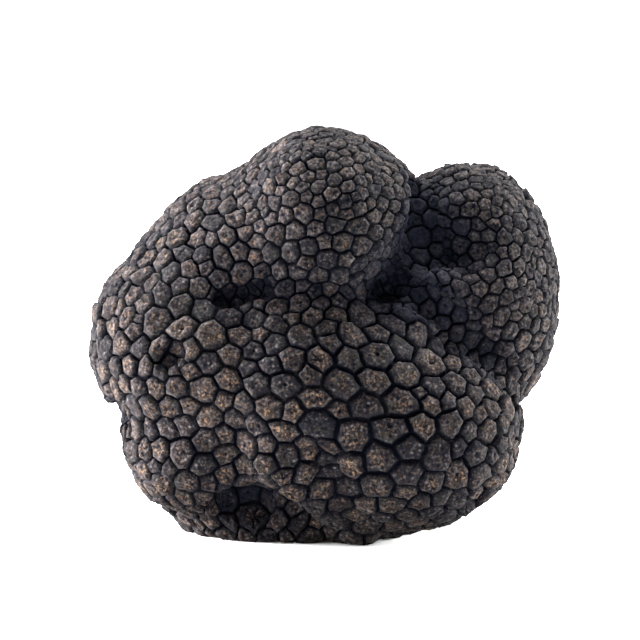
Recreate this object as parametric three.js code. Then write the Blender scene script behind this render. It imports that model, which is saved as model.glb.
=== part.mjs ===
import * as THREE from "three";
import { ConvexHull } from "three/addons/math/ConvexHull.js";

// A black truffle, in millimetres, +Z up and its front towards -Y, resting on its flat spot at z = 0.
// It is one solid: a lump of rounded lobes whose whole skin is broken into raised, many-sided warts.
// The warts are larger than life, so that the grooves between them stay clear in a light mesh.

// Warts
const WART_COUNT = 640;
const WART_SPACING = 5.2;
const SMALLEST_WART = 0.78; // shares of the spacing
const LARGEST_WART = 1.24;
const FRONT_WART_GAIN = 0.15;
const CROWN_WART_SHARE = 0.9;
const GROOVE_DEPTH = 1.15;
const WART_DOME = 0.2;
const WART_SLOPE = 0.2; // share of the way in from a corner where the sloping side ends
const WART_SEED = 11;

// Body
const CORE = new THREE.Vector3(0, 1, 28);
const OUTER_REACH = 60; // farther from the core than any part of the skin
const FLAT_SPOT_ROUNDING = 0.8;
const LUMP_HEIGHT = 0.45;
const LUMP_REACH = 2.4;
const LUMP_BEND = 1.1;
const LUMP_BEND_PACE = 0.7;
const FRONT_BULGE = new THREE.Vector3(6, -26, 19.2);
const FRONT_BULGE_REACH = 22;

// Skin
const SKIN_COLOUR = 0x3f3d40;
const SKIN_ROUGHNESS = 0.88;
const SKIN_METALNESS = 0;

// Rounded lobes in the order they join: middle, half sizes, and how softly each joins the rest.
const LOBES = [
  { name: "core", at: [-3, 4, 27.2], half: [23, 20, 23], blend: 1 },
  { name: "upper left", at: [-11.2, 1, 40.2], half: [16.8, 18, 15.2], blend: 4 },
  { name: "crown", at: [-0.2, -5.6, 48.4], half: [13, 17.2, 14.4], blend: 6.3 },
  { name: "crown right", at: [6.4, -4, 51.3], half: [8.6, 13, 7.6], blend: 3 },
  { name: "left shoulder", at: [-20, 0, 29.6], half: [16.1, 19, 16], blend: 5 },
  { name: "back top", at: [-1, 14, 42.2], half: [15, 14, 13.5], blend: 4 },
  { name: "left front", at: [-16, -9, 26.2], half: [13, 14, 12], blend: 6 },
  { name: "lower left", at: [-17.6, -4, 15.5], half: [13.4, 16.5, 12.8], blend: 3 },
  { name: "front upper", at: [-1, -11, 24.2], half: [18, 17.5, 15.3], blend: 4.5 },
  { name: "front right", at: [11, -8, 17.4], half: [19, 19.5, 16], blend: 4 },
  { name: "foot", at: [-3.6, 0.5, 7.2], half: [20.8, 14.5, 14], blend: 3 },
  { name: "back low left", at: [-12, 13, 21.2], half: [15, 15, 18], blend: 4 },
  { name: "back low right", at: [9, 15, 17.2], half: [17, 14, 17], blend: 4 },
  { name: "right", at: [21.6, 3, 36], half: [14.5, 18.5, 20.4], blend: 1.5 },
  { name: "right top", at: [21.6, 2, 45], half: [11.6, 14, 11.2], blend: 2 },
  { name: "right inner", at: [14, -4, 35.2], half: [10, 14, 12], blend: 2.5 },
];

// Rounded ridge along the lower left edge of the front bulge.
const RIDGES = [{ name: "hem", from: [-8, -21.8, 14.1], to: [5.6, -13.4, 3.2], radius: 3, blend: 3 }];

// Hollows pressed into the skin.
const DENTS = [
  { name: "slot", from: [-15.4, -17.3, 37.6], to: [-8.8, -18.1, 39.2], radius: 1.4, blend: 1.4 },
  { name: "fork pit", from: [9.8, -13.8, 38.8], to: [11.6, -13.4, 40.4], radius: 2, blend: 2.4 },
  { name: "right crease", from: [13, -16, 38.6], to: [19.6, -16.2, 34.5], radius: 2.3, blend: 1.6 },
  { name: "right crease end", from: [19.6, -16.2, 34.5], to: [29, -12.8, 23.6], radius: 2.3, blend: 1.6 },
  { name: "right gap", from: [14.6, -8.8, 54], to: [14.8, -11.6, 43.6], radius: 3.2, blend: 1.8 },
  { name: "right hollow", from: [20.2, -13.6, 47.2], to: [21.6, -13.2, 45.4], radius: 3.5, blend: 4 },
  { name: "left pit", from: [-23.6, -20.3, 29.1], to: [-22, -20.8, 30.4], radius: 1.5, blend: 1.6 },
  { name: "under pit", from: [-13.6, -13.8, 7.4], to: [-11.4, -13.4, 6], radius: 3.6, blend: 2 },
  { name: "fold", from: [-1.6, -25.8, 15.2], to: [2.8, -23.4, 8.8], radius: 1.7, blend: 2.4 },
  { name: "left notch", from: [-32.4, -1, 19.4], to: [-30, -9, 19.9], radius: 1.6, blend: 1.8 },
];

// Settling of the warts over the skin
const SETTLING_ROUNDS = 110;
const LAST_TURNS = 6;
const ELBOW_ROOM = 1.3;
const PUSH_SHARE = 0.22;
const LONGEST_PUSH = 0.3;
const EVENING_SHARE = 0.12;
const START_SCATTER = 0.06;

// Walking a ray in to the skin
const STEP_SHARE = 0.8;
const MOST_STEPS = 60;
const SKIN_TOLERANCE = 0.01;
const SLOPE_PROBE = 0.2;
const PULL_STEPS = 3;
const TINY = 1e-9;
const MULBERRY_STEP = 0x6d2b79f5;
const MULBERRY_MIX = 61;
const AXES = [new THREE.Vector3(1, 0, 0), new THREE.Vector3(0, 1, 0), new THREE.Vector3(0, 0, 1)];

// A repeatable stream of numbers from 0 to 1 (the Mulberry32 generator).
function seededRandom(seed) {
  let state = seed;
  return () => {
    state = (state + MULBERRY_STEP) | 0;
    let mixed = Math.imul(state ^ (state >>> 15), 1 | state);
    mixed = (mixed + Math.imul(mixed ^ (mixed >>> 7), MULBERRY_MIX | mixed)) ^ mixed;
    return ((mixed ^ (mixed >>> 14)) >>> 0) / 2 ** 32;
  };
}

// The smaller of two distances, rounded off where they meet.
function softMin(a, b, blend) {
  const overlap = Math.max(blend - Math.abs(a - b), 0) / blend;
  return Math.min(a, b) - (overlap * overlap * blend) / 4;
}

// The larger of two distances, rounded off where they meet.
function softMax(a, b, blend) {
  return -softMin(-a, -b, blend);
}

// About how far p lies outside an ellipsoid.
function lobeDistance(p, { at, half }) {
  const x = (p.x - at[0]) / half[0];
  const y = (p.y - at[1]) / half[1];
  const z = (p.z - at[2]) / half[2];
  const reach = Math.hypot(x, y, z);
  const slope = Math.hypot(x / half[0], y / half[1], z / half[2]);
  return (reach * (reach - 1)) / Math.max(slope, TINY);
}

// How far p lies outside a round-ended bar.
function barDistance(p, bar) {
  const from = new THREE.Vector3(...bar.from);
  const along = new THREE.Vector3(...bar.to).sub(from);
  const offset = p.clone().sub(from);
  const share = THREE.MathUtils.clamp(offset.dot(along) / along.lengthSq(), 0, 1);
  return offset.addScaledVector(along, -share).length() - bar.radius;
}

// Low, irregular swellings all over the body: three waves, each bent by the one before.
function lumpHeight(p) {
  const x = p.x / LUMP_REACH;
  const y = p.y / LUMP_REACH;
  const z = p.z / LUMP_REACH;
  const across = Math.sin(x + LUMP_BEND * Math.sin(LUMP_BEND_PACE * z));
  const deep = Math.sin(y + LUMP_BEND * Math.sin(LUMP_BEND_PACE * x));
  const upward = Math.sin(z + LUMP_BEND * Math.sin(LUMP_BEND_PACE * y));
  return LUMP_HEIGHT * across * deep * upward;
}

// About how far p lies outside the body, before the warts are raised.
function bodyDistance(p) {
  let distance = OUTER_REACH;
  for (const lobe of LOBES) distance = softMin(distance, lobeDistance(p, lobe), lobe.blend);
  for (const ridge of RIDGES) distance = softMin(distance, barDistance(p, ridge), ridge.blend);
  for (const dent of DENTS) distance = softMax(distance, -barDistance(p, dent), dent.blend);
  return softMax(distance - lumpHeight(p), -p.z, FLAT_SPOT_ROUNDING);
}

// The point of the skin that is seen from outside along a direction from the core.
function skinPoint(direction) {
  const unit = direction.clone().normalize();
  const point = new THREE.Vector3();
  let reach = OUTER_REACH;
  for (let step = 0; step < MOST_STEPS; step++) {
    point.copy(CORE).addScaledVector(unit, reach);
    const distance = bodyDistance(point);
    if (distance < SKIN_TOLERANCE) break;
    reach -= distance * STEP_SHARE;
  }
  return point;
}

// The outward direction of the skin near a point.
function skinNormal(point) {
  const [x, y, z] = AXES.map((axis) => {
    const ahead = bodyDistance(point.clone().addScaledVector(axis, SLOPE_PROBE));
    return ahead - bodyDistance(point.clone().addScaledVector(axis, -SLOPE_PROBE));
  });
  return new THREE.Vector3(x, y, z).normalize();
}

// Moves a point that is close to the skin straight on to it.
function pullToSkin(point) {
  for (let step = 0; step < PULL_STEPS; step++) {
    point.addScaledVector(skinNormal(point), -bodyDistance(point));
  }
  return point;
}

// Warts are largest over the front bulge, and a little smaller than the rest over the crown.
function regionShare(p) {
  const near = Math.exp(-p.distanceToSquared(FRONT_BULGE) / FRONT_BULGE_REACH ** 2);
  const height = THREE.MathUtils.smoothstep(p.z, CORE.z, 2 * CORE.z);
  return (1 + FRONT_WART_GAIN * near) * THREE.MathUtils.lerp(1, CROWN_WART_SHARE, height);
}

// Wart middles spread evenly round the core, each with its own share of the spacing.
function scatterWarts() {
  const draw = seededRandom(WART_SEED);
  const goldenTurn = Math.PI * (3 - Math.sqrt(5));
  const warts = [];
  for (let i = 0; i < WART_COUNT; i++) {
    const height = 1 - (2 * i + 1) / WART_COUNT;
    const width = Math.sqrt(1 - height ** 2);
    const direction = new THREE.Vector3().setFromCylindricalCoords(width, i * goldenTurn, height);
    const scatter = new THREE.Vector3(draw(), draw(), draw()).subScalar(0.5);
    direction.addScaledVector(scatter, START_SCATTER);
    const share = THREE.MathUtils.lerp(SMALLEST_WART, LARGEST_WART, draw());
    warts.push({ middle: skinPoint(direction), share });
  }
  return warts;
}

// A closed net of triangles between numbered warts, held as the wart that faces each side.
class WartNet {
  constructor(count) {
    this.count = count;
    this.facing = new Map();
    this.anyNeighbour = [];
  }

  addTriangle(a, b, c) {
    this.facing.set(a * this.count + b, c);
    this.facing.set(b * this.count + c, a);
    this.facing.set(c * this.count + a, b);
    this.anyNeighbour[a] = b;
    this.anyNeighbour[b] = c;
    this.anyNeighbour[c] = a;
  }

  // The third wart of the triangle that runs from a to b.
  facingSide(a, b) {
    return this.facing.get(a * this.count + b);
  }

  // Every side once, as a pair of warts.
  sides() {
    const pairs = [...this.facing.keys()].map((key) => [Math.floor(key / this.count), key % this.count]);
    return pairs.filter(([a, b]) => a < b);
  }

  // The warts round one wart, in order.
  around(a) {
    const found = [];
    let at = this.anyNeighbour[a];
    do {
      found.push(at);
      at = this.facingSide(a, at);
    } while (at !== found[0]);
    return found;
  }

  // Swaps the side between a and b for the one between the two warts that face it.
  turnSide(a, b) {
    const c = this.facingSide(a, b);
    const d = this.facingSide(b, a);
    this.facing.delete(a * this.count + b);
    this.facing.delete(b * this.count + a);
    this.addTriangle(a, d, c);
    this.addTriangle(b, c, d);
  }
}

// Joins each wart to those beside it, as seen from the core.
function joinWarts(warts) {
  const directions = warts.map(({ middle }, i) => {
    return Object.assign(middle.clone().sub(CORE).normalize(), { i });
  });
  const net = new WartNet(warts.length);
  for (const { edge } of new ConvexHull().setFromPoints(directions).faces) {
    net.addTriangle(edge.head().point.i, edge.next.head().point.i, edge.next.next.head().point.i);
  }
  return net;
}

// The cotangent of the angle at tip between two other points.
function cotangent(tip, from, to) {
  const u = from.clone().sub(tip);
  const v = to.clone().sub(tip);
  return u.dot(v) / Math.max(u.clone().cross(v).length(), TINY);
}

// Turns every side that its two facing warts lie closer across.
function turnLongSides(warts, net) {
  for (const [a, b] of net.sides()) {
    const c = net.facingSide(a, b);
    const d = net.facingSide(b, a);
    if (net.facingSide(c, d) !== undefined) continue;
    const [pa, pb, pc, pd] = [a, b, c, d].map((i) => warts[i].middle);
    if (cotangent(pc, pa, pb) + cotangent(pd, pa, pb) < -TINY) net.turnSide(a, b);
  }
}

// How far a wart is pushed by neighbours that stand closer than their two sizes allow,
// with a little drift towards the middle of them all.
function pushOn(i, warts, net) {
  const wart = warts[i];
  const push = new THREE.Vector3();
  const around = net.around(i);
  for (const j of around) {
    const away = wart.middle.clone().sub(warts[j].middle);
    const gap = Math.max(away.length(), TINY);
    const wanted = (ELBOW_ROOM * (wart.room + warts[j].room)) / 2;
    push.addScaledVector(away, -EVENING_SHARE / around.length);
    if (gap < wanted) push.addScaledVector(away, (PUSH_SHARE * (wanted - gap)) / gap);
  }
  return push.clampLength(0, LONGEST_PUSH * WART_SPACING);
}

// Lets the warts push one another over the skin until they lie side by side.
function settle(warts, net) {
  for (let round = 0; round < SETTLING_ROUNDS; round++) {
    for (const wart of warts) wart.room = WART_SPACING * wart.share * regionShare(wart.middle);
    const pushes = warts.map((wart, i) => pushOn(i, warts, net));
    warts.forEach((wart, i) => pullToSkin(wart.middle.add(pushes[i])));
    turnLongSides(warts, net);
  }
  for (let round = 0; round < LAST_TURNS; round++) turnLongSides(warts, net);
}

// The closed skin: shared groove corners, and for each wart a sloping side and a low domed top.
function buildSkin(warts, net) {
  const positions = [];
  const triangles = [];
  const addPoint = (point) => {
    positions.push(point.x, point.y, Math.max(point.z, 0));
    return positions.length / 3 - 1;
  };
  const corners = new Map();
  const cornerOf = (...trio) => {
    const key = trio.sort((m, n) => m - n).join();
    if (!corners.has(key)) {
      const middle = trio.reduce((sum, i) => sum.add(warts[i].middle), new THREE.Vector3());
      const point = pullToSkin(middle.divideScalar(trio.length));
      const sunk = point.clone().addScaledVector(skinNormal(point), -GROOVE_DEPTH);
      corners.set(key, { point, grooveId: addPoint(sunk) });
    }
    return corners.get(key);
  };
  warts.forEach(({ middle }, i) => {
    const round = net.around(i).map((j) => cornerOf(i, j, net.facingSide(i, j)));
    const peakId = addPoint(middle.clone().addScaledVector(skinNormal(middle), WART_DOME));
    const rimIds = round.map(({ point }) => addPoint(point.clone().lerp(middle, WART_SLOPE)));
    round.forEach(({ grooveId }, k) => {
      const after = (k + 1) % round.length;
      triangles.push(peakId, rimIds[k], rimIds[after]);
      triangles.push(rimIds[k], grooveId, round[after].grooveId);
      triangles.push(rimIds[k], round[after].grooveId, rimIds[after]);
    });
  });
  const skin = new THREE.BufferGeometry();
  skin.setAttribute("position", new THREE.Float32BufferAttribute(positions, 3));
  skin.setIndex(triangles);
  return skin;
}

// Brings the middle of the body's box over the origin, with its lowest point on z = 0.
function standAtOrigin(skin) {
  skin.computeBoundingBox();
  const middle = skin.boundingBox.getCenter(new THREE.Vector3());
  skin.translate(-middle.x, -middle.y, -skin.boundingBox.min.z);
}

const warts = scatterWarts();
const net = joinWarts(warts);
settle(warts, net);
const skin = buildSkin(warts, net);
standAtOrigin(skin);
skin.computeVertexNormals();

const truffle = new THREE.Mesh(
  skin,
  new THREE.MeshStandardMaterial({
    color: SKIN_COLOUR,
    roughness: SKIN_ROUGHNESS,
    metalness: SKIN_METALNESS,
  }),
);
truffle.name = "truffle";

const blackTruffle = new THREE.Group();
blackTruffle.name = "black_truffle";
blackTruffle.add(truffle);

export default blackTruffle;
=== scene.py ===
"""A black truffle: one warty skin with its earthy finish, on a pale floor in soft studio light.

The skin is worked out in millimetres in the truffle's own coordinates, +Z up and the front towards
-Y, and set down in metres over the flat spot that it rests on.
"""

import logging
import math
from collections.abc import Sequence
from dataclasses import dataclass, field
from enum import Enum
from typing import Any

import bpy
import numpy as np
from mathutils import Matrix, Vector, noise


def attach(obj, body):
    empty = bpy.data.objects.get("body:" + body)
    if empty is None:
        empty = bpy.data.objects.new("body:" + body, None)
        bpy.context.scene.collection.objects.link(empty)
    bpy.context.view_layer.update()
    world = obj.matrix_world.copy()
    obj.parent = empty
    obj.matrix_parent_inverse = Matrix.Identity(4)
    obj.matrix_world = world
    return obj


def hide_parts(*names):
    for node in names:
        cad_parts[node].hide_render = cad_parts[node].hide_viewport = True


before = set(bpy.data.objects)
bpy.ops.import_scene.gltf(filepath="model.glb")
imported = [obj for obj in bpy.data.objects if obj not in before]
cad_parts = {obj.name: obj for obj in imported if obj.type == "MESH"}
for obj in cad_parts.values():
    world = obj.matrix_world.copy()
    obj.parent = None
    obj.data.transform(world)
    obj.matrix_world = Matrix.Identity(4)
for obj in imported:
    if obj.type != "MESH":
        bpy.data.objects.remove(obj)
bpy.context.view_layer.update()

log = logging.getLogger("truffle")

Points = np.ndarray
Span = tuple[float, float]
Triple = tuple[float, float, float]
Pair = tuple[int, int]
Colour = tuple[float, float, float, float]

METRES = 0.001  # metres in a millimetre
STAND_SHIFT = (0.03687, -0.38590, 0.0)  # sets the truffle down with the frame's origin under its middle, mm
TINY = 1e-9
FIRST_INSET = 0.1  # how far in each ring is first cut, before it takes its own place, mm
GROOVE_TINT = 0.5  # the middling tint of what belongs to no wart
GOLDEN_TURN = 3.0 - math.sqrt(5.0)  # the half turns that spread points evenly on a ball


def soft_min(a: Points, b: Points, blend: float) -> Points:
    """Takes the smaller of two distances, rounded off over a width in mm where they meet."""
    overlap = np.maximum(blend - np.abs(a - b), 0.0) / blend
    return np.minimum(a, b) - overlap * overlap * blend / 4.0


def soft_max(a: Points, b: Points, blend: float) -> Points:
    """Takes the larger of two distances, rounded off where they meet."""
    return -soft_min(-a, -b, blend)


def lengths(vectors: Points) -> Points:
    """Measures each row of an array of vectors."""
    return np.sqrt((vectors * vectors).sum(axis=-1))


def smooth_step(values: Points, low: float, high: float) -> Points:
    """Runs from 0 at low to 1 at high with soft ends, for each value."""
    share = np.clip((values - low) / (high - low), 0.0, 1.0)
    return share * share * (3.0 - 2.0 * share)


@dataclass(frozen=True)
class Lobe:
    """A rounded lobe of the body: its middle, its half sizes and how softly it joins, in mm."""

    middle: Triple
    half: Triple
    blend: float

    def distance(self, points: Points) -> Points:
        """Estimates how far points lie outside the lobe.

        Args:
            points: Places in mm, one a row.

        Returns:
            A distance in mm for each point, below zero inside.
        """
        inside = (points - self.middle) / self.half
        reach = lengths(inside)
        slope = lengths(inside / self.half)
        return reach * (reach - 1.0) / np.maximum(slope, TINY)


@dataclass(frozen=True)
class Bar:
    """A round-ended bar that is added as a ridge or pressed in as a hollow, in mm."""

    start: Triple
    end: Triple
    radius: float
    blend: float

    def distance(self, points: Points) -> Points:
        """Measures how far points lie outside the bar.

        Args:
            points: Places in mm, one a row.

        Returns:
            A distance in mm for each point, below zero inside.
        """
        along = np.subtract(self.end, self.start)
        offset = points - self.start
        share = np.clip(offset @ along / (along @ along), 0.0, 1.0)
        return lengths(offset - share[:, None] * along) - self.radius


LOBES = (
    Lobe((-3.0, 4.0, 27.2), (23.0, 20.0, 23.0), 1.0),  # core
    Lobe((-11.2, 1.0, 40.2), (16.8, 18.0, 15.2), 4.0),  # upper left
    Lobe((-0.2, -5.6, 48.4), (13.0, 17.2, 14.4), 6.3),  # crown
    Lobe((6.4, -4.0, 51.3), (8.6, 13.0, 7.6), 3.0),  # crown right
    Lobe((-20.0, 0.0, 29.6), (16.1, 19.0, 16.0), 5.0),  # left shoulder
    Lobe((-1.0, 14.0, 42.2), (15.0, 14.0, 13.5), 4.0),  # back top
    Lobe((-16.0, -9.0, 26.2), (13.0, 14.0, 12.0), 6.0),  # left front
    Lobe((-17.6, -4.0, 15.5), (13.4, 16.5, 12.8), 3.0),  # lower left
    Lobe((-1.0, -11.0, 24.2), (18.0, 17.5, 15.3), 4.5),  # front upper
    Lobe((11.0, -8.0, 17.4), (19.0, 19.5, 16.0), 4.0),  # front right
    Lobe((-3.6, 0.5, 7.2), (20.8, 14.5, 14.0), 3.0),  # foot
    Lobe((-12.0, 13.0, 21.2), (15.0, 15.0, 18.0), 4.0),  # back low left
    Lobe((9.0, 15.0, 17.2), (17.0, 14.0, 17.0), 4.0),  # back low right
    Lobe((21.6, 3.0, 36.0), (14.5, 18.5, 20.4), 1.5),  # right
    Lobe((21.6, 2.0, 45.0), (11.6, 14.0, 11.2), 2.0),  # right top
    Lobe((14.0, -4.0, 35.2), (10.0, 14.0, 12.0), 2.5),  # right inner
)

RIDGES = (Bar((-8.0, -21.8, 14.1), (5.6, -13.4, 3.2), 3.0, 3.0),)  # hem

HOLLOWS = (
    Bar((-15.4, -17.3, 37.6), (-8.8, -18.1, 39.2), 1.4, 1.4),  # slot
    Bar((9.8, -13.8, 38.8), (11.6, -13.4, 40.4), 2.0, 2.4),  # fork pit
    Bar((13.0, -16.0, 38.6), (19.6, -16.2, 34.5), 2.3, 1.6),  # right crease
    Bar((19.6, -16.2, 34.5), (29.0, -12.8, 23.6), 2.3, 1.6),  # right crease end
    Bar((14.6, -8.8, 54.0), (14.8, -11.6, 43.6), 3.2, 1.8),  # right gap
    Bar((20.2, -13.6, 47.2), (21.6, -13.2, 45.4), 3.5, 4.0),  # right hollow
    Bar((-23.6, -20.3, 29.1), (-22.0, -20.8, 30.4), 1.5, 1.6),  # left pit
    Bar((-13.6, -13.8, 7.4), (-11.4, -13.4, 6.0), 3.6, 2.0),  # under pit
    Bar((-1.6, -25.8, 15.2), (2.8, -23.4, 8.8), 1.7, 2.4),  # fold
    Bar((-32.4, -1.0, 19.4), (-30.0, -9.0, 19.9), 1.6, 1.8),  # left notch
)


@dataclass(frozen=True)
class Body:
    """The truffle's body before its warts are raised: blended lobes, a ridge, hollows and lumps."""

    lobes: tuple[Lobe, ...] = LOBES
    ridges: tuple[Bar, ...] = RIDGES
    hollows: tuple[Bar, ...] = HOLLOWS
    core: Triple = (0.0, 1.0, 28.0)
    outer_reach: float = 60.0  # farther from the core than any part of the skin
    spot_rounding: float = 0.8
    lump_height: float = 0.45
    lump_reach: float = 2.4
    lump_bend: float = 1.1
    lump_bend_pace: float = 0.7
    slope_probe: float = 0.2
    pull_steps: int = 3
    walk_steps: int = 60
    walk_share: float = 0.8

    def lumps(self, points: Points) -> Points:
        """Gives the height of the low, irregular swellings that run all over the body.

        Args:
            points: Places in mm, one a row.

        Returns:
            A height in mm for each point.
        """
        x, y, z = (points / self.lump_reach).T
        across = np.sin(x + self.lump_bend * np.sin(self.lump_bend_pace * z))
        deep = np.sin(y + self.lump_bend * np.sin(self.lump_bend_pace * x))
        upward = np.sin(z + self.lump_bend * np.sin(self.lump_bend_pace * y))
        return self.lump_height * across * deep * upward

    def distance(self, points: Points) -> Points:
        """Estimates how far points lie outside the body.

        Args:
            points: Places in mm, one a row.

        Returns:
            A distance in mm for each point, below zero inside.
        """
        found = np.full(len(points), self.outer_reach)
        for part in (*self.lobes, *self.ridges):
            found = soft_min(found, part.distance(points), part.blend)
        for hollow in self.hollows:
            found = soft_max(found, -hollow.distance(points), hollow.blend)
        return soft_max(found - self.lumps(points), -points[:, 2], self.spot_rounding)

    def outward(self, points: Points) -> Points:
        """Finds the outward direction of the skin near each point.

        Args:
            points: Places in mm, one a row.

        Returns:
            A unit vector for each point.
        """
        probes = np.eye(3) * self.slope_probe
        around = np.concatenate([points + probe for probe in (*probes, *-probes)])
        ahead, behind = self.distance(around).reshape(2, 3, -1)
        slope = (ahead - behind).T
        return slope / np.maximum(lengths(slope), TINY)[:, None]

    def pull(self, points: Points) -> Points:
        """Moves points that are close to the skin straight on to it.

        Args:
            points: Places in mm, one a row.

        Returns:
            The places on the skin.
        """
        for _ in range(self.pull_steps):
            points = points - self.outward(points) * self.distance(points)[:, None]
        return points

    def meet(self, directions: Points) -> Points:
        """Walks in from outside towards the core until the skin is met.

        Args:
            directions: Directions from the core, one a row.

        Returns:
            The place in mm where each walk ends.
        """
        units = directions / lengths(directions)[:, None]
        reach = np.full(len(units), self.outer_reach)
        for _ in range(self.walk_steps):
            reach -= self.walk_share * self.distance(self.core + units * reach[:, None])
        return self.core + units * reach[:, None]

    def closeness(self, points: Points, reach: float) -> Points:
        """Tells how closely the body folds round a place: 0 on a bulge, up to 1 deep in a crease."""
        over = points + self.outward(points) * reach
        return np.clip(1.0 - self.distance(over) / reach, 0.0, 1.0)


@dataclass
class WartBed:
    """The warts' places: scattered over the body, joined in a net, and settled side by side.

    Lengths and heights are in mm, and shares are of the ordinary spacing where nothing else is said.
    """

    body: Body
    count: int = 1740
    spacing: float = 3.24
    smallest: float = 0.70
    largest: float = 1.30
    seed: int = 25
    scatter: float = 0.02
    candidates: int = 8  # places tried for each wart
    least_facing: float = 0.16  # how much of the core's view the steepest skin is given
    rounds: int = 90
    last_turns: int = 6
    elbow_room: float = 1.3
    push_share: float = 0.2
    longest_push: float = 0.3
    evening_share: float = 0.1
    bulge: Triple = (9.0, -27.0, 21.2)
    bulge_reach: float = 19.0
    bulge_gain: float = 0.26
    crown_share: float = 0.68
    crown_heights: Span = (36.0, 54.0)
    crown_sides: Span = (-17.0, -7.0)
    shoulder_part: float = 0.3  # how far the crown's share reaches over the upper left
    right_sides: Span = (10.0, 20.0)
    right_heights: Span = (26.0, 36.0)
    crease_share: float = 0.55
    crease_reach: float = 3.0
    crease_closeness: Span = (0.15, 0.6)
    middles: Points = field(init=False)
    shares: Points = field(init=False)
    net: Points = field(init=False)

    def bulge_share(self, points: Points) -> Points:
        """Tells how much each place belongs to the big front bulge, from 0 to 1."""
        away = lengths(points - self.bulge) / self.bulge_reach
        return np.exp(-away * away)

    def region_share(self, points: Points) -> Points:
        """Gives the size of warts over each place: large on the front bulge, small on the crown.

        Args:
            points: Places in mm, one a row.

        Returns:
            A share of the ordinary spacing for each point.
        """
        across, height = points[:, 0], points[:, 2]
        front = 1.0 + self.bulge_gain * self.bulge_share(points)
        inner = smooth_step(across, *self.crown_sides)
        upper = smooth_step(height, *self.crown_heights)
        upper = upper * (self.shoulder_part + (1.0 - self.shoulder_part) * inner)
        right = smooth_step(across, *self.right_sides) * smooth_step(height, *self.right_heights)
        open_share = front * (1.0 - (1.0 - self.crown_share) * np.maximum(upper, right))
        closeness = self.body.closeness(points, self.crease_reach)
        crease = smooth_step(closeness, *self.crease_closeness)
        return open_share * (1.0 - (1.0 - self.crease_share) * crease)

    def strew(self) -> None:
        """Strews the warts' middles over the skin, closer together where warts are small.

        Directions from the core are spread evenly, each counts for the skin that it meets, and the
        warts are picked from them at even steps of that count.
        """
        draw = np.random.default_rng(self.seed)
        total = self.count * self.candidates
        index = np.arange(total)
        deep = 1.0 - (2 * index + 1) / total
        width = np.sqrt(1.0 - deep * deep)
        turn = index * math.pi * GOLDEN_TURN
        directions = np.stack([width * np.cos(turn), deep, width * np.sin(turn)], axis=1)
        places = self.body.meet(directions)
        away = places - self.body.core
        reach = lengths(away)
        facing = (away * self.body.outward(places)).sum(axis=1) / reach
        area = reach**2 / np.maximum(facing, self.least_facing)
        shares = np.cumsum(area / self.region_share(places) ** 2)
        picks = (np.arange(self.count) + 0.5) * shares[-1] / self.count
        chosen = np.unique(np.searchsorted(shares, picks))
        self.count = len(chosen)
        directions = directions[chosen] + self.scatter * (draw.random((self.count, 3)) - 0.5)
        self.middles = self.body.meet(directions)
        self.shares = self.smallest + (self.largest - self.smallest) * draw.random(self.count)

    def join(self) -> None:
        """Joins each wart to those beside it by a closed net of triangles, as seen from the core.

        The net turns left as seen from outside, and a wart that finds no place in it is dropped.
        """
        directions = self.middles - self.body.core
        directions /= lengths(directions)[:, None]
        mesh = bpy.data.meshes.new("net")
        mesh.from_pydata(directions.tolist(), [], [])
        net = bpy.data.objects.new("net", mesh)
        bpy.context.scene.collection.objects.link(net)
        pick_only(net)
        bpy.ops.object.mode_set(mode="EDIT")
        bpy.ops.mesh.select_all(action="SELECT")
        bpy.ops.mesh.convex_hull(join_triangles=False)
        bpy.ops.mesh.normals_make_consistent(inside=False)
        bpy.ops.object.mode_set(mode="OBJECT")
        places = np.array([vertex.co[:] for vertex in net.data.vertices])
        found = np.array([side.vertices[:] for side in net.data.polygons])
        nearest = np.argmax(places @ directions.T, axis=1)
        used, places = np.unique(nearest[found], return_inverse=True)
        self.net = places.reshape(-1, 3)
        self.middles, self.shares, self.count = self.middles[used], self.shares[used], len(used)
        bpy.data.objects.remove(net)

    def turn_long_sides(self) -> None:
        """Turns every side of the net that its two facing warts lie closer across."""
        starts = self.net.ravel()
        ends = np.roll(self.net, -1, axis=1).ravel()
        facing = np.roll(self.net, -2, axis=1).ravel()
        keys = np.minimum(starts, ends) * self.count + np.maximum(starts, ends)
        one, other = np.argsort(keys, kind="stable").reshape(-1, 2).T
        a, b, c, d = starts[one], ends[one], facing[one], facing[other]
        long = self.cotangent(c, a, b) + self.cotangent(d, a, b) < -TINY
        new_keys = np.minimum(c, d) * self.count + np.maximum(c, d)
        taken = set(keys[np.isin(keys, new_keys)].tolist())
        touched: set[int] = set()
        for k in np.flatnonzero(long):
            pair = {int(one[k]) // 3, int(other[k]) // 3}
            if pair & touched or int(new_keys[k]) in taken:
                continue
            touched |= pair
            taken.add(int(new_keys[k]))
            self.net[one[k] // 3] = a[k], d[k], c[k]
            self.net[other[k] // 3] = b[k], c[k], d[k]

    def cotangent(self, tip: Points, start: Points, end: Points) -> Points:
        """Works out the cotangent of the angle at each tip between two other warts.

        Args:
            tip: The warts where the angles are.
            start: The warts that one arm of each angle runs to.
            end: The warts that the other arm runs to.

        Returns:
            A cotangent for each angle.
        """
        u = self.middles[start] - self.middles[tip]
        v = self.middles[end] - self.middles[tip]
        return (u * v).sum(axis=1) / np.maximum(lengths(np.cross(u, v)), TINY)

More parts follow.
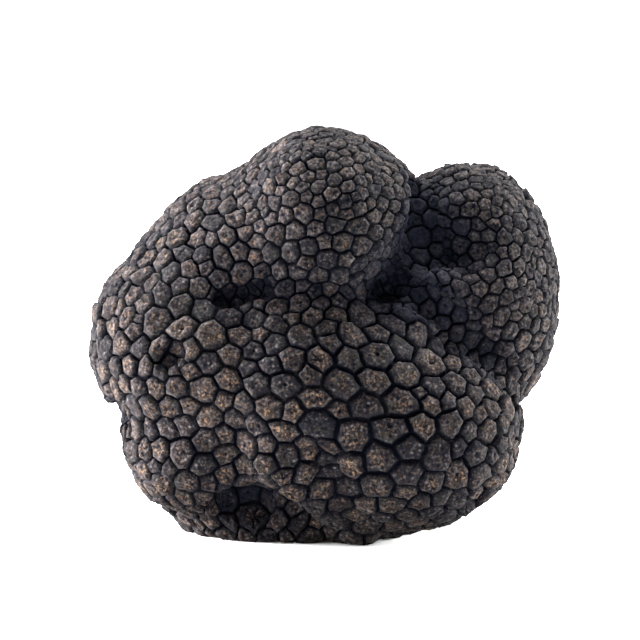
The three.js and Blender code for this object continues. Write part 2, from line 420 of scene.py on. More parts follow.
    def push_apart(self) -> None:
        """Pushes neighbours that stand too close apart, and evens out the rest, over the skin."""
        starts = self.net.ravel()
        ends = np.roll(self.net, -1, axis=1).ravel()
        room = self.spacing * self.shares * self.region_share(self.middles)
        away = self.middles[starts] - self.middles[ends]
        gap = np.maximum(lengths(away), TINY)
        wanted = self.elbow_room * (room[starts] + room[ends]) / 2.0
        amount = self.push_share * np.maximum(wanted - gap, 0.0) / gap
        valence = np.bincount(starts, minlength=self.count)
        amount -= self.evening_share / valence[starts]
        pushes = np.zeros_like(self.middles)
        np.add.at(pushes, starts, away * amount[:, None])
        reach = np.maximum(lengths(pushes), TINY)
        pushes *= np.minimum(1.0, self.longest_push * self.spacing / reach)[:, None]
        self.middles = self.body.pull(self.middles + pushes)

    def settle(self) -> None:
        """Strews, joins and settles the warts."""
        self.strew()
        self.join()
        for _ in range(self.rounds):
            self.push_apart()
            self.turn_long_sides()
        for _ in range(self.last_turns):
            self.turn_long_sides()


def pick_only(piece: bpy.types.Object) -> None:
    """Selects one object alone and makes it the active one.

    Args:
        piece: The object.
    """
    bpy.ops.object.select_all(action="DESELECT")
    piece.select_set(True)
    bpy.context.view_layer.objects.active = piece


def read_whole(collection: Any, name: str) -> Points:
    """Reads a whole number from each item of a Blender collection.

    Args:
        collection: The faces, loops or attribute values to read.
        name: The property that holds the number.

    Returns:
        One number for each item.
    """
    values = np.empty(len(collection), dtype=np.int32)
    collection.foreach_get(name, values)
    return values


@dataclass(frozen=True)
class TopShape:
    """Heights over the skin of a wart's two inner rings and its middle, in mm, and its cracks."""

    outer: float
    inner: float
    middle: float
    cracks: float  # how far the lines to its corners sink
    share: float  # how many of the warts have it


class WartTop(Enum):
    """The kinds of top that a wart can have."""

    PLAIN = TopShape(0.04, 0.08, 0.04, 0.08, 0.28)
    DIMPLED = TopShape(0.05, 0.00, -0.42, 0.06, 0.32)
    BUTTON = TopShape(0.03, -0.24, 0.12, 0.06, 0.20)
    STARRED = TopShape(0.05, 0.02, -0.20, 0.26, 0.20)


@dataclass
class Outlines:
    """The outline of every wart, drawn along the middle of the grooves round it."""

    border: Points  # the grooves' points on the body, mm: first the corners, then those between
    corner_count: int
    loops: list[list[int]]  # each wart's points in order, turning left as seen from outside


@dataclass
class Outliner:
    """Draws the warts' outlines from their settled places.

    A corner stands in each triangle of the net, where three warts meet, and a groove runs across each
    of its sides, between two warts.
    """

    bed: WartBed
    step: float = 0.92  # about how far apart a groove's points are, mm
    most_steps: int = 5
    border_sway: float = 0.045
    corner_sway: float = 0.13
    corner_ease: float = 1.0  # mm added to a corner's shortest groove before it sways
    seed: int = 5
    triangle_at: dict[Pair, int] = field(init=False, default_factory=dict)
    follows: dict[Pair, int] = field(init=False, default_factory=dict)
    any_neighbour: dict[int, int] = field(init=False, default_factory=dict)

    def read_net(self) -> None:
        """Notes which triangle lies by each side of the net, and which wart comes after it."""
        for triangle, (a, b, c) in enumerate(self.bed.net.tolist()):
            for start, end, far in ((a, b, c), (b, c, a), (c, a, b)):
                self.triangle_at[start, end] = triangle
                self.follows[start, end] = far
                self.any_neighbour[start] = end

    def draw(self) -> Outlines:
        """Draws all the outlines.

        Returns:
            The shared points of the grooves and each wart's loop of them.
        """
        draw = np.random.default_rng(self.seed)
        self.read_net()
        corners = self.bed.body.pull(self.bed.middles[self.bed.net].mean(axis=1))
        sides = [(a, b) for a, b in self.triangle_at if a < b]
        ends = np.array([(self.triangle_at[b, a], self.triangle_at[a, b]) for a, b in sides])
        span = lengths(corners[ends[:, 0]] - corners[ends[:, 1]])
        shortest = np.full(len(corners), self.bed.spacing)
        np.minimum.at(shortest, ends[:, 0], span)
        np.minimum.at(shortest, ends[:, 1], span)
        offsets = 2.0 * draw.random(corners.shape) - 1.0
        offsets = self.corner_sway * offsets * (shortest + self.corner_ease)[:, None]
        places = (corners + offsets).tolist()
        between: dict[Pair, list[int]] = {}
        for side, (first, last), reach in zip(sides, ends.tolist(), span.tolist()):
            steps = min(max(round(reach / self.step), 1), self.most_steps)
            start, end = np.array(places[first]), np.array(places[last])
            between[side] = list(range(len(places), len(places) + steps - 1))
            for k in range(1, steps):
                offset = self.border_sway * reach * (2.0 * draw.random(3) - 1.0)
                places.append((start + (end - start) * k / steps + offset).tolist())
        loops = [self.go_round(wart, between) for wart in range(self.bed.count)]
        return Outlines(self.bed.body.pull(np.array(places)), len(corners), loops)

    def go_round(self, wart: int, between: dict[Pair, list[int]]) -> list[int]:
        """Collects the points of the grooves round one wart.

        Args:
            wart: The wart.
            between: The points between the corners of each groove, by its two warts, lower first.

        Returns:
            The points in order, turning left as seen from outside.
        """
        first = self.any_neighbour[wart]
        neighbour = first
        loop: list[int] = []
        while not loop or neighbour != first:
            if wart < neighbour:
                loop += between[wart, neighbour]
            else:
                loop += between[neighbour, wart][::-1]
            loop.append(self.triangle_at[wart, neighbour])
            neighbour = self.follows[wart, neighbour]
        return loop


@dataclass
class Layout:
    """Every vertex of the skin before it is raised: the grooves, each ring's points, the middles."""

    places: Points  # mm, close to the body
    inside: Points  # 0 in a groove to 1 in a wart's middle
    levels: Points  # the height over the body on a wart of the ordinary size, mm
    lines: Points  # how plainly a crack shows, 0 to 1
    owner: Points  # the vertex's wart, or -1 in a groove
    centre: Points  # the level of each wart's middle, mm


@dataclass
class WartySkin:
    """The truffle's skin: a closed mesh of sunk grooves and raised, many-sided warts.

    Lengths are in mm. A way is a share of the distance from a groove to the wart's middle.
    """

    bed: WartBed
    outlines: Outlines
    groove_depth: float = 0.98
    groove_unevenness: float = 0.22
    wall_inset: float = 0.20
    wall_depth: float = 0.70
    wall_limit: float = 0.2  # the farthest way in that the wall's top may stand
    shoulder_inset: float = 0.35
    shoulder_depth: float = 0.08
    shoulder_limit: float = 0.30
    small_inset: float = 0.35  # the part of the insets that doesn't shrink with a wart
    corner_gain: float = 0.98
    bulge_gain: float = 0.35
    outer_way: float = 0.46
    inner_way: float = 0.74
    least_strength: float = 0.5  # a top's heights are scaled by this to one more than this
    split_share: float = 0.5  # how many corners a crack runs to
    split_outer: float = 0.7  # how much of a crack's depth the outer ring has
    crack_gain: float = 4.0  # how much more plainly a deeper crack shows
    crack_least: float = 0.4
    ring_sway: float = 0.06
    ring_sways: tuple[float, ...] = (0.0, 0.4, 1.0, 1.0)  # each ring's part of it, from outside in
    sway_reach: float = 1.6
    middle_sway: float = 0.28
    lift: float = 0.09
    lean: float = 0.08
    top_levels: Span = (-0.8, -0.1)  # where a wall gives way to the top that lifts and leans
    roughness: float = 0.24
    groove_roughness: float = 0.35  # the grooves' part of it
    roughness_reach: float = 0.8
    ordinary_reach: float = 1.8
    size_limits: Span = (0.5, 1.3)
    relief_bottom: float = -0.75  # the level where the relief mark is 0
    relief_top: float = 0.05  # and where it is 1
    shoulder_relief: float = 0.72
    # how the painted shade of a dimple grows with its depth and towards its middle
    pit_gain: float = 2.2
    pit_ways: Span = (0.70, 1.0)
    # how far round a place the body is looked at for the painted shade of its creases, mm
    crease_reach: float = 3.0
    # how far round, and in how many smoothing rounds, the depth for the painted shade between the lobes is
    # found
    deep_reach: float = 9.0
    deep_rounds: int = 3
    rust_heights: Span = (14.0, 46.0)
    rust_sides: Span = (-22.0, 20.0)
    rust_least: float = 0.25
    rust_low: float = 0.45
    rust_left: float = 0.3
    chart_reach: float = 53.0  # degrees from the middle of a chart of the map to its edge
    chart_gap: float = 0.004  # a share of a chart's side
    chart_nearest: float = 1.0
    seed: int = 31
    name: str = "truffle_skin"
    steps: Points = field(init=False)  # the groove point at each step round each wart
    wart: Points = field(init=False)  # the wart that each of these steps goes round
    reach: Points = field(init=False)  # how far its middle is from there, mm
    size: Points = field(init=False)  # each wart's size as a share of the ordinary one

    def __post_init__(self) -> None:
        """Strings the outlines together as one row of steps, and measures the warts."""
        loops = self.outlines.loops
        self.steps = np.concatenate(loops)
        self.wart = np.repeat(np.arange(self.bed.count), [len(loop) for loop in loops])
        self.reach = lengths(self.bed.middles[self.wart] - self.outlines.border[self.steps])
        mean_reach = np.bincount(self.wart, self.reach) / np.bincount(self.wart)
        self.size = np.clip(mean_reach / self.ordinary_reach, *self.size_limits)

    def cut(self) -> bpy.types.Object:
        """Joins the outlines in a mesh and cuts the rings and the middle into each wart.

        Returns:
            The skin with all its faces, its rings still lying on one another.
        """
        mesh = bpy.data.meshes.new(self.name)
        mesh.from_pydata((self.outlines.border * METRES).tolist(), [], self.outlines.loops)
        number = mesh.attributes.new("wart", "INT", "FACE")
        number.data.foreach_set("value", np.arange(self.bed.count))
        skin = bpy.data.objects.new(self.name, mesh)
        bpy.context.scene.collection.objects.link(skin)
        pick_only(skin)
        bpy.ops.object.mode_set(mode="EDIT")
        bpy.ops.mesh.select_mode(type="FACE")
        bpy.ops.mesh.select_all(action="SELECT")
        for _ in self.ring_sways:
            bpy.ops.mesh.inset(thickness=FIRST_INSET * METRES, use_individual=True)
        bpy.ops.mesh.poke()
        bpy.ops.object.mode_set(mode="OBJECT")
        return skin

    def ring_ways(self) -> list[Points]:
        """Works out how far in the four rings stand at each step round the warts.

        Returns:
            A way for each step, ring by ring from outside in.
        """
        rim = self.outlines.border[self.steps]
        corner = self.steps < self.outlines.corner_count
        wide = self.small_inset + (1.0 - self.small_inset) * self.size[self.wart]
        wide = wide * (1.0 + self.bulge_gain * self.bed.bulge_share(rim))
        inset = np.where(corner, self.corner_gain, 1.0) * wide / self.reach
        return [
            np.minimum(self.wall_inset * inset, self.wall_limit),
            np.minimum(self.shoulder_inset * inset, self.shoulder_limit),
            np.full(len(self.steps), self.outer_way),
            np.full(len(self.steps), self.inner_way),
        ]

    def lay_out(self, draw: np.random.Generator) -> Layout:
        """Lays out the vertices of the grooves, the rings and the middles.

        Args:
            draw: The source of the differences between the warts.

        Returns:
            The vertices in the order in which the mesh holds them.
        """
        border, middles, wart = self.outlines.border, self.bed.middles, self.wart
        count, total = self.bed.count, len(self.steps)
        kinds = [kind.value for kind in WartTop]
        kind = draw.choice(len(kinds), count, p=[top.share for top in kinds])
        strength = self.least_strength + draw.random(count)
        split = (self.steps < self.outlines.corner_count) * (draw.random(total) < self.split_share)
        shape = np.array([(top.outer, top.inner, top.middle, top.cracks) for top in kinds])
        outer, inner, centre, cracks = (shape[kind] * strength[:, None]).T
        uneven = 1 + self.groove_unevenness * (2 * draw.random(len(border)) - 1)
        heights = [
            np.full(total, -self.wall_depth),
            np.full(total, -self.shoulder_depth),
            outer[wart] - self.split_outer * cracks[wart] * split,
            inner[wart] - cracks[wart] * split,
        ]
        ways = self.ring_ways()
        rim = border[self.steps]
        rings = []
        for way, sway in zip(ways, self.ring_sways):
            jolt = (2 * draw.random((total, 3)) - 1) * self.ring_sway * sway
            inward = (middles[wart] - rim) * way[:, None]
            rings.append(rim + inward + jolt * np.minimum(self.reach, self.sway_reach)[:, None])
        centres = middles + (2 * draw.random((count, 3)) - 1) * self.middle_sway
        crack_marks = np.clip(self.crack_gain * cracks[wart] - self.crack_least, 0.0, 1.0) * split
        plain = np.zeros(len(border) + 2 * total)
        return Layout(
            places=np.concatenate([border, *rings, centres]),
            inside=np.concatenate([np.zeros(len(border)), *ways, np.ones(count)]),
            levels=np.concatenate([-self.groove_depth * uneven, *heights, centre]),
            lines=np.concatenate([plain, crack_marks, crack_marks, np.zeros(count)]),
            owner=np.concatenate([np.full(len(border), -1), *[wart] * len(rings), np.arange(count)]),
            centre=centre,
        )

    def build(self) -> bpy.types.Object:
        """Builds the skin at its place in the frame.

        Returns:
            The finished piece, without its material.
        """
        draw = np.random.default_rng(self.seed)
        skin = self.cut()
        layout = self.lay_out(draw)
        owner, in_wart = layout.owner, layout.owner >= 0
        base = self.bed.body.pull(layout.places)
        scale = self.scale(owner)
        lift = draw.normal(0.0, self.lift, self.bed.count)
        lean = draw.normal(0.0, self.lean, (self.bed.count, 3))
        offset = base - self.bed.middles[owner]
        tilt = (offset * lean[owner]).sum(axis=1) + lift[owner]
        top = smooth_step(layout.levels, *self.top_levels) * in_wart
        rough = np.array([noise.noise(place) for place in (base / self.roughness_reach).tolist()])
        rough = (self.groove_roughness + (1.0 - self.groove_roughness) * top) * self.roughness * rough
        height = layout.levels * scale + top * tilt + rough
        raised = base + self.bed.body.outward(base) * height[:, None]
        raised[:, 2] = np.maximum(raised[:, 2], 0.0)

        mesh = skin.data
        mesh.vertices.foreach_set("co", ((raised + STAND_SHIFT) * METRES).ravel())
        tints = draw.random(self.bed.count)
        pitted = np.clip(-self.pit_gain * layout.centre, 0.0, 1.0)[owner] * in_wart
        marks = {
            # the relief mark sets the painted shade down the wart walls and in the grooves
            "relief": self.relief(layout.levels * scale),
            # how closely the body folds round each place, for the painted shade in its creases
            "hollow": self.bed.body.closeness(base, self.crease_reach),
            # how deep between the lobes each place lies, for the painted shade there
            "deep": self.deepness(owner),
            "way": layout.inside,
            # the dimples and cracks, for the painted shade in them
            "pit": np.maximum(pitted * smooth_step(layout.inside, *self.pit_ways), layout.lines),
            "tint": np.where(in_wart, tints[owner], GROOVE_TINT),
            "rust": self.rust(base),
            # the front bulge, for the painted shade over it
            "bulge": self.bed.bulge_share(base),
        }
        for name, values in marks.items():
            layer = mesh.attributes.new(name, "FLOAT", "POINT")
            layer.data.foreach_set("value", values)
        self.lay_map(mesh, base)
        mesh.update()
        pick_only(skin)
        bpy.ops.object.shade_smooth()
        return skin

    def relief(self, heights: Points) -> Points:
        """Marks how high each place stands in its wart: 0 in a groove, 1 on a full top."""
        levels = (self.relief_bottom, -self.shoulder_depth, self.relief_top)
        return np.interp(heights, levels, (0.0, self.shoulder_relief, 1.0))

    def scale(self, owner: Points) -> Points:
        """Finds how far each vertex's level is stretched by the size of the wart that it is in or by.

        Args:
            owner: The vertex's wart, or -1 in a groove.

        Returns:
            A share of the level for each vertex.
        """
        border_size = np.zeros(len(self.outlines.border))
        np.maximum.at(border_size, self.steps, self.size[self.wart])
        return np.concatenate([border_size, self.size[owner[len(border_size) :]]])

    def deepness(self, owner: Points) -> Points:
        """Tells how deep between the lobes each wart and each of the grooves' points lies, for the painted
        shade there.

        Args:
            owner: The vertex's wart, or -1 in a groove.

        Returns:
            A share from 0 to 1 for each vertex, the same all over a wart.
        """
        net = self.bed.net
        value = self.bed.body.closeness(self.bed.middles, self.deep_reach)
        for _ in range(self.deep_rounds):
            total, tally = value.copy(), np.ones(len(value))
            np.add.at(total, net, value[np.roll(net, 1, axis=1)])
            np.add.at(tally, net, 1.0)
            value = total / tally
        in_grooves = np.bincount(self.steps, value[self.wart]) / np.bincount(self.steps)
        return np.concatenate([in_grooves, value[owner[len(in_grooves) :]]])

    def rust(self, places: Points) -> Points:
        """Tells how much rust-brown earth clings to each place: most low down and at the left.

        Args:
            places: Places on the body, mm.

        Returns:
            A share from 0 to 1 for each place.
        """
        low = 1.0 - smooth_step(places[:, 2], *self.rust_heights)
        left = 1.0 - smooth_step(places[:, 0], *self.rust_sides)
        return np.clip(self.rust_least + self.rust_low * low + self.rust_left * left, 0.0, 1.0)

    def lay_map(self, mesh: bpy.types.Mesh, base: Points) -> None:
        """Lays the skin out flat in six charts, three by two, whose borders run in the grooves.

        Args:
            mesh: The finished mesh.
            base: Each vertex's place on the body before it was raised, mm.
        """
        facing = self.bed.middles - self.bed.body.core
        axis = np.abs(facing).argmax(axis=1)
        behind = np.take_along_axis(facing, axis[:, None], 1)[:, 0] < 0
        chart = axis + 3 * behind
        face_wart = read_whole(mesh.attributes["wart"].data, "value")
        loop_chart = chart[np.repeat(face_wart, read_whole(mesh.polygons, "loop_total"))]
        vertex = read_whole(mesh.loops, "vertex_index")
        away = base[vertex] - self.bed.body.core
        rows = np.arange(len(vertex))
        main = loop_chart % 3
        ahead = np.maximum(np.abs(away[rows, main]), self.chart_nearest)
        across = away[rows, (main + 1) % 3] * np.where(loop_chart < 3, 1.0, -1.0)
        upward = away[rows, (main + 2) % 3]
        turns = np.degrees(np.arctan(np.stack([across, upward], axis=1) / ahead[:, None]))
        share = np.clip(0.5 + turns / (2.0 * self.chart_reach), 0.0, 1.0)
        cell = np.stack([main, loop_chart // 3], axis=1)
        size = np.array([1.0 / 3.0, 1.0 / 2.0])
        layer = mesh.uv_layers.new(name="OFBake")
        places = (cell + self.chart_gap + share * (1.0 - 2.0 * self.chart_gap)) * size
        layer.uv.foreach_set("vector", places.ravel())


MIX_FACTOR, MIX_FIRST, MIX_SECOND, MIX_RESULT = 0, 6, 7, 2  # a colour Mix node's sockets


class Wire:
    """A value that runs through a finish, and can be added, multiplied and so on."""

    def __init__(self, bench: "Bench", socket: bpy.types.NodeSocket) -> None:
        """Wraps one output socket of a node on the bench."""
        self.bench = bench
        self.socket = socket

    def _work(self, operation: str, *terms: "Wire | float") -> "Wire":
        """Adds one Math node, named as Blender names it, with these terms in its sockets."""
        return self.bench.wire("ShaderNodeMath", {"operation": operation}, dict(enumerate(terms)))

    def __add__(self, other: "Wire | float") -> "Wire":
        """Adds."""
        return self._work("ADD", self, other)

    def __radd__(self, other: float) -> "Wire":
        """Adds to a number."""
        return self._work("ADD", other, self)

    def __sub__(self, other: "Wire | float") -> "Wire":
        """Takes away."""
        return self._work("SUBTRACT", self, other)

    def __rsub__(self, other: float) -> "Wire":
        """Takes this from a number."""
        return self._work("SUBTRACT", other, self)

    def __mul__(self, other: "Wire | float") -> "Wire":
        """Multiplies."""
        return self._work("MULTIPLY", self, other)

    def __rmul__(self, other: float) -> "Wire":
        """Multiplies a number."""
        return self._work("MULTIPLY", other, self)

    def clamped(self) -> "Wire":
        """Keeps the value between 0 and 1."""
        return self._work("MINIMUM", self._work("MAXIMUM", self, 0.0), 1.0)

    def between(self, low: float, high: float) -> "Wire":
        """Makes a soft-ended mask.

        Args:
            low: The value up to which the mask is 0.
            high: The value from which it is 1.

        Returns:
            The mask.
        """
        settings = {"interpolation_type": "SMOOTHSTEP"}
        sockets = {"Value": self, "From Min": low, "From Max": high}
        return self.bench.wire("ShaderNodeMapRange", settings, sockets)


@dataclass(frozen=True)
class Grain:
    """A cloudy pattern's patch size in mm, its finer layers, their strength and its warp."""

    size: float
    detail: float
    roughness: float
    warp: float = 0.0


@dataclass(frozen=True)
class Mask:
    """A soft-ended mask: 0 up to low, and its full strength from high."""

    low: float
    high: float
    strength: float = 1.0

    def over(self, value: Wire) -> Wire:
        """Makes the mask from a value."""
        return value.between(self.low, self.high) * self.strength


class Bench:
    """The nodes of one finish, and the one way that nodes are added to it."""

    def __init__(self, name: str) -> None:
        """Starts an empty material.

        Args:
            name: The material's name.
        """
        self.material = bpy.data.materials.new(name)
        self.material.use_nodes = True
        self.tree = self.material.node_tree
        self.tree.nodes.clear()

    def add(self, kind: str, settings: dict[str, Any], sockets: dict[Any, Any]) -> bpy.types.Node:
        """Adds a node.

        Args:
            kind: The node's type.
            settings: Its properties, set first; "stops" are a ramp's (place, colour) pairs.
            sockets: A wire or a value for each input, by name or number.

        Returns:
            The new node.
        """
        node = self.tree.nodes.new(kind)
        for name, value in settings.items():
            if name == "stops":
                self._set_stops(node.color_ramp, value)
            else:
                setattr(node, name, value)
        for key, value in sockets.items():
            if isinstance(value, Wire):
                self.tree.links.new(value.socket, node.inputs[key])
            else:
                node.inputs[key].default_value = value
        return node

    def _set_stops(self, ramp: bpy.types.ColorRamp, stops: Sequence[tuple[float, Colour]]) -> None:
        """Gives a ramp its stops.

        Args:
            ramp: The ramp, with the two stops that a new one has.
            stops: A place and a colour for each stop, in order.
        """
        while len(ramp.elements) < len(stops):
            ramp.elements.new(1.0)
        for element, (place, colour) in zip(ramp.elements, stops):
            element.position = place
            element.color = colour

    def wire(self, kind: str, settings: dict[str, Any], sockets: dict[Any, Any], out: Any = 0) -> Wire:
        """Adds a node and takes one of its outputs, as add does."""
        return Wire(self, self.add(kind, settings, sockets).outputs[out])

    def value_of(self, name: str) -> Wire:
        """Reads a number that the mesh carries at its points."""
        return self.wire("ShaderNodeAttribute", {"attribute_name": name}, {}, "Fac")

    def grain(self, grain: Grain) -> Wire:
        """Makes a cloudy pattern through the whole body.

        Args:
            grain: Its size and roughness.

        Returns:
            A value about 0.5 that mostly stays between 0.25 and 0.75.
        """
        place = self.wire("ShaderNodeTexCoord", {}, {}, "Object")
        sockets = {"Vector": place, "Scale": 1.0 / (grain.size * METRES), "Detail": grain.detail}
        sockets |= {"Roughness": grain.roughness, "Distortion": grain.warp}
        return self.wire("ShaderNodeTexNoise", {"noise_dimensions": "3D"}, sockets, "Fac")

    def crumbs(self, size: float, out: str = "Distance") -> Wire:
        """Makes a pattern of small crumbs through the whole body.

        Args:
            size: About how far apart the crumbs are, mm.
            out: Distance or Color, by Blender's name.

        Returns:
            For Distance, a value that is 0 in the middle of a crumb and about 1 between crumbs; for
            Color, a shade of its own for each crumb.
        """
        place = self.wire("ShaderNodeTexCoord", {}, {}, "Object")
        settings = {"voronoi_dimensions": "3D", "feature": "F1"}
        sockets = {"Vector": place, "Scale": 1.0 / (size * METRES), "Randomness": 1.0}
        return self.wire("ShaderNodeTexVoronoi", settings, sockets, out)

    def blend(self, share: Wire | float, under: Wire | Colour, over: Wire | Colour) -> Wire:
        """Mixes two colours.

        Args:
            share: How much of the second shows, 0 to 1.
            under: The first colour.
            over: The second colour.

        Returns:
            The mixed colour.
        """
        settings = {"data_type": "RGBA", "clamp_factor": True}
        sockets = {MIX_FACTOR: share, MIX_FIRST: under, MIX_SECOND: over}
        return self.wire("ShaderNodeMix", settings, sockets, MIX_RESULT)

    def finished(self, sockets: dict[str, Any]) -> bpy.types.Material:
        """Adds the shader and the output.

        Args:
            sockets: A wire or a value for each of the shader's inputs.

        Returns:
            The finished material.
        """
        shader = self.wire("ShaderNodeBsdfPrincipled", {}, sockets)
        self.add("ShaderNodeOutputMaterial", {}, {"Surface": shader})
        return self.material


@dataclass(frozen=True)
class Spots:
    """Crumbs picked out as spots, plainest on the inner part of a wart."""

    size: float  # about how far apart the crumbs are, mm
    chosen: Mask  # which crumbs are spots, by their shade
    edges: Mask  # where a spot fades out
    inner: float  # how much plainer they are on the inner part
    rim: float  # how plain they are outside it
    inner_part: Mask = Mask(0.14, 0.45)

    def over(self, bench: Bench) -> Wire:
        """Makes the spots' mask.

        Args:
            bench: The finish's nodes.

        Returns:
            A value that is greatest in the middle of a spot.
        """
        chosen = self.chosen.over(bench.crumbs(self.size, "Color"))
        spots = chosen * (1.0 - self.edges.over(bench.crumbs(self.size)))
        inner = self.inner_part.over(bench.value_of("way"))
        return spots * (inner * self.inner + self.rim)


@dataclass(frozen=True)
class SkinFinish:
    """The truffle's black, earthy skin: mottled warts and rust-brown flecks, with shade painted into its
    grooves, creases, dimples and cracks, between its lobes and over its front bulge.
    """

    name: str = "truffle_skin"
    # painted shade: the colour of the grooves, creases, dimples and cracks, and of the dark pit spots
    groove: Colour = (0.0001, 0.0003, 0.0014, 1.0)
    crust: Colour = (0.0017, 0.0019, 0.0032, 1.0)
    grey: Colour = (0.0056, 0.0052, 0.0056, 1.0)
    pale: Colour = (0.0315, 0.0280, 0.0272, 1.0)
    chip: Colour = (0.0460, 0.0430, 0.0450, 1.0)
    moss: Colour = (0.0044, 0.0054, 0.0045, 1.0)
    # painted shade deep between the lobes
    shade: Colour = (0.0015, 0.0023, 0.0050, 1.0)
    slate: Colour = (0.0016, 0.0021, 0.0040, 1.0)
    rust: Colour = (0.0680, 0.0420, 0.0250, 1.0)

    fine_grain: Grain = Grain(0.32, 2.0, 0.65)
    coarse_grain: Grain = Grain(1.15, 3.0, 0.65, 0.5)
    moss_grain: Grain = Grain(2.6, 3.0, 0.6)
    speck_grain: Grain = Grain(0.44, 1.0, 0.5)
    shade_gap_grain: Grain = Grain(7.0, 2.0, 0.5)
    crumb_size: float = 0.55  # mm

    crust_stop: float = 0.41  # where the mottling is all crust, all grey and all pale
    grey_stop: float = 0.49
    pale_stop: float = 0.62
    grain_share: float = 0.56  # of each of the two grains in the mottling
    mottle_shift: float = -0.063
    tint_share: float = 0.05  # from the darkest to the palest wart
    # painted shade over the front bulge
    bulge_painted_shade: float = 0.032
    crumb_gaps: Mask = Mask(0.35, 0.8, 0.08)
    moss_patches: Mask = Mask(0.50, 0.62, 0.35)
    slate_patches: Mask = Mask(0.54, 0.66, 0.4)

    chips: Spots = Spots(0.50, Mask(0.62, 0.95), Mask(0.10, 0.80), 0.7, 0.15)
    chip_rusty: float = 0.7
    chip_least: float = 0.45

    tan_part: Mask = Mask(0.06, 0.60)
    tan_least: float = 0.12
    tan_tint: float = 1.25
    specks: Mask = Mask(0.54, 0.72, 0.92)
    speck_rest: float = 0.08  # the rust between the specks

    # painted shade down the wart walls into the grooves, by the relief mark
    walls: Mask = Mask(0.04, 0.64)
    # random patches where the painted groove shade is lighter
    shade_gaps: Mask = Mask(0.44, 0.62, 0.4)
    # painted shade in the creases, by the hollow mark
    creases: Mask = Mask(0.40, 0.90, 0.85)
    # painted shade in the dimples and cracks, by the pit mark
    hollow_tops: Mask = Mask(0.3, 0.9, 0.9)
    pits: Spots = Spots(0.8, Mask(0.40, 0.50), Mask(0.20, 0.60), 0.60, 0.25)
    # painted shade deep between the lobes, by the deep mark
    shadows: Mask = Mask(0.15, 0.70, 0.80)

    bump: float = 0.9
    bump_depth: float = 0.22  # mm
    bump_grain: float = 0.6
    bump_crumbs: float = 0.35
    roughness: float = 0.78
    roughness_grain: float = 0.25
    specular: float = 0.03
    sheen: float = 0.006
    sheen_roughness: float = 0.3
    sheen_tint: Colour = (0.95, 0.96, 1.0, 1.0)

    def make(self) -> bpy.types.Material:
        """Mixes the finish.

        Returns:
            The material.
        """
        bench = Bench(self.name)
        fine = bench.grain(self.fine_grain)
        coarse = bench.grain(self.coarse_grain)
        crumbs = bench.crumbs(self.crumb_size)
        top = self.dust(bench, self.mottle(bench, fine, coarse, crumbs))
        # paints shade deep between the lobes
        top = bench.blend(self.shadows.over(bench.value_of("deep")), top, self.shade)
        # paints shade in the grooves, creases, dimples and cracks, with the dark pit spots
        colour = bench.blend(self.darkness(bench), top, self.groove)

        height = fine * self.bump_grain + coarse * self.bump_grain - crumbs * self.bump_crumbs
        bump_sockets = {"Strength": self.bump, "Distance": self.bump_depth * METRES, "Height": height}
        sockets = {
            "Base Color": colour,
            "Roughness": self.roughness + fine * self.roughness_grain,
            "Normal": bench.wire("ShaderNodeBump", {}, bump_sockets),
            "Specular IOR Level": self.specular,
            "Sheen Weight": self.sheen,
            "Sheen Roughness": self.sheen_roughness,
            "Sheen Tint": self.sheen_tint,
        }
        return bench.finished(sockets)

    def mottle(self, bench: Bench, fine: Wire, coarse: Wire, crumbs: Wire) -> Wire:
        """Mottles the warts from dark crust to pale grey, with a hint of moss and slate, and paints shade
        over the front bulge.

        Args:
            bench: The finish's nodes.
            fine: The fine grain.
            coarse: The coarse grain.
            crumbs: The crumbs, 0 in the middle of each.

        Returns:
            The colour.
        """
        amount = fine * self.grain_share + coarse * self.grain_share + self.mottle_shift
        amount = amount + (bench.value_of("tint") - GROOVE_TINT) * self.tint_share
        # less the gaps between crumbs, and painted shade over the front bulge
        amount = amount - self.crumb_gaps.over(crumbs) - bench.value_of("bulge") * self.bulge_painted_shade
        stops = (
            (self.crust_stop, self.crust),
            (self.grey_stop, self.grey),
            (self.pale_stop, self.pale),
        )
        top = bench.wire("ShaderNodeValToRGB", {"stops": stops}, {"Fac": amount}, "Color")
        top = bench.blend(self.moss_patches.over(bench.grain(self.moss_grain)), top, self.moss)
        return bench.blend(self.slate_patches.over(coarse), top, self.slate)

    def dust(self, bench: Bench, top: Wire) -> Wire:
        """Adds the pale chips and the rust-brown specks.

        Args:
            bench: The finish's nodes.
            top: The mottled colour.

        Returns:
            The dusted colour.
        """
        rusty = bench.value_of("rust")
        chips = self.chips.over(bench) * (rusty * self.chip_rusty + self.chip_least)
        top = bench.blend(chips, top, self.chip)
        tan = (rusty * (self.tan_least + bench.value_of("tint") * self.tan_tint)).clamped()
        tan = self.tan_part.over(bench.value_of("way")) * tan
        specks = self.specks.over(bench.grain(self.speck_grain)) + self.speck_rest
        return bench.blend(specks * tan, top, self.rust)

    def darkness(self, bench: Bench) -> Wire:
        """Paints shade into the grooves, lighter in random patches, and into the creases, dimples and
        cracks, and adds the dark pit spots.

        Args:
            bench: The finish's nodes.

        Returns:
            How much painted shade or dark pit spot each place has, 0 to 1.
        """
        # painted shade in the grooves, darkest at their bottom, lighter in random patches
        shade_gaps = 1.0 - self.shade_gaps.over(bench.grain(self.shade_gap_grain))
        dark = (1.0 - self.walls.over(bench.value_of("relief"))) * shade_gaps
        # painted shade in the creases
        dark = dark + self.creases.over(bench.value_of("hollow"))
        # painted shade in the dimples and cracks
        dark = dark + self.hollow_tops.over(bench.value_of("pit"))
        return (dark + self.pits.over(bench)).clamped()


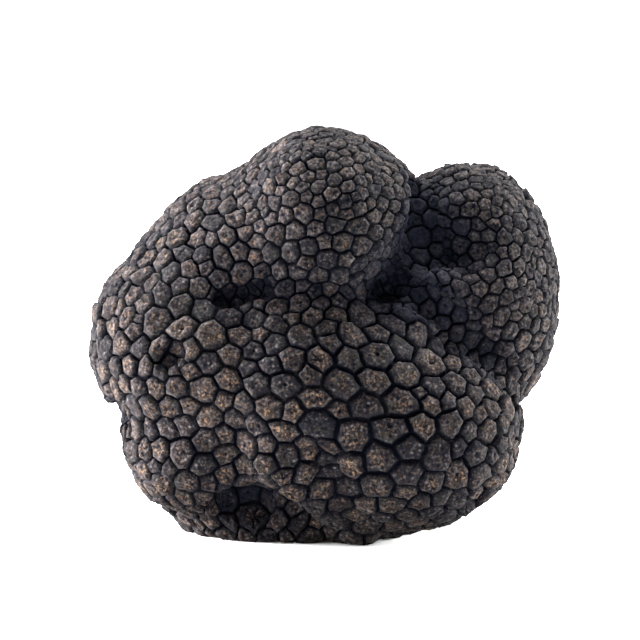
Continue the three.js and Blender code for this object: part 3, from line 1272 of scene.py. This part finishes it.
@dataclass(frozen=True)
class FloorFinish:
    """A plain pale floor with the faintest unevenness."""

    name: str = "pale_floor"
    light: Colour = (0.86, 0.86, 0.86, 1.0)
    dull: Colour = (0.83, 0.83, 0.83, 1.0)
    patches: Grain = Grain(40.0, 2.0, 0.5)
    roughness: float = 0.9
    specular: float = 0.1

    def make(self) -> bpy.types.Material:
        """Mixes the finish.

        Returns:
            The material.
        """
        bench = Bench(self.name)
        sockets = {
            "Base Color": bench.blend(bench.grain(self.patches), self.light, self.dull),
            "Roughness": self.roughness,
            "Specular IOR Level": self.specular,
        }
        return bench.finished(sockets)


@dataclass(frozen=True)
class Lamp:
    """A square soft light: its place and width in metres, its power in watts and its colour."""

    name: str
    place: Triple
    width: float
    power: float
    tint: Triple = (1.0, 1.0, 1.0)


@dataclass(frozen=True)
class Studio:
    """The floor, the soft lights, the pale surroundings and the camera, in metres."""

    aim: Triple = (-0.0007, 0.0, 0.03275)
    distance: float = 0.6
    elevation: float = 6.0  # degrees
    lens: float = 219.85  # mm
    nearest: float = 0.01
    farthest: float = 100.0
    floor_radius: float = 20.0
    floor_sides: int = 96
    surroundings: float = 1.2
    surroundings_tint: Colour = (1.0, 1.0, 1.0, 1.0)
    lamps: tuple[Lamp, ...] = (
        Lamp("key", (-0.72, -0.42, 0.42), 0.3, 8.0),
        Lamp("left_side", (-0.80, 0.20, 0.07), 0.4, 205.0, (1.0, 0.955, 0.975)),
        Lamp("right_side", (0.80, 0.24, 0.05), 0.4, 95.0),
        Lamp("top", (0.0, 0.18, 0.78), 0.4, 72.0),
    )

    def lay_floor(self) -> None:
        """Lays the floor under the truffle."""
        bpy.ops.object.select_all(action="DESELECT")
        bpy.ops.mesh.primitive_circle_add(
            vertices=self.floor_sides, radius=self.floor_radius, fill_type="NGON"
        )
        floor = bpy.context.object
        floor.name = "floor"
        floor.data.materials.append(FloorFinish().make())

    def hang_lamps(self) -> None:
        """Hangs the soft lights, each turned to the truffle."""
        for lamp in self.lamps:
            bpy.ops.object.light_add(type="AREA", location=lamp.place)
            light = bpy.context.object
            light.name = lamp.name
            light.data.size = lamp.width
            light.data.energy = lamp.power
            light.data.color = lamp.tint
            self.turn_to_aim(light)

    def turn_to_aim(self, thing: bpy.types.Object) -> None:
        """Turns a lamp or a camera to face the point that the camera aims at."""
        thing.rotation_euler = (Vector(self.aim) - thing.location).to_track_quat("-Z", "Y").to_euler()

    def set_surroundings(self) -> None:
        """Gives the studio its pale surroundings."""
        world = bpy.data.worlds.new("pale_room")
        world.use_nodes = True
        sky = world.node_tree.nodes["Background"]
        sky.inputs["Color"].default_value = self.surroundings_tint
        sky.inputs["Strength"].default_value = self.surroundings
        bpy.context.scene.world = world
        bpy.context.scene.view_settings.view_transform = "Standard"

    def place_camera(self) -> None:
        """Stands the camera in front, looking slightly down."""
        rise = math.radians(self.elevation)
        back = Vector((0.0, -math.cos(rise), math.sin(rise)))
        bpy.ops.object.camera_add(location=Vector(self.aim) + back * self.distance)
        camera = bpy.context.object
        camera.data.lens = self.lens
        camera.data.clip_start = self.nearest
        camera.data.clip_end = self.farthest
        self.turn_to_aim(camera)
        bpy.context.scene.camera = camera

    def build(self) -> None:
        """Sets up the whole studio."""
        self.lay_floor()
        self.hang_lamps()
        self.set_surroundings()
        self.place_camera()


def main() -> None:
    """Builds the truffle and the studio, and reports each piece."""
    logging.basicConfig(level=logging.INFO, format="%(name)s: %(message)s")
    bed = WartBed(Body())
    bed.settle()
    log.info("settled %d warts", bed.count)
    outlines = Outliner(bed).draw()
    skin = WartySkin(bed, outlines).build()
    skin.data.materials.append(SkinFinish().make())
    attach(skin, "root")
    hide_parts("truffle")
    log.info("truffle_skin: %d triangles", sum(len(p.vertices) - 2 for p in skin.data.polygons))
    Studio().build()
    log.info("studio: floor, lamps and camera")
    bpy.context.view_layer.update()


if __name__ == "__main__":
    main()
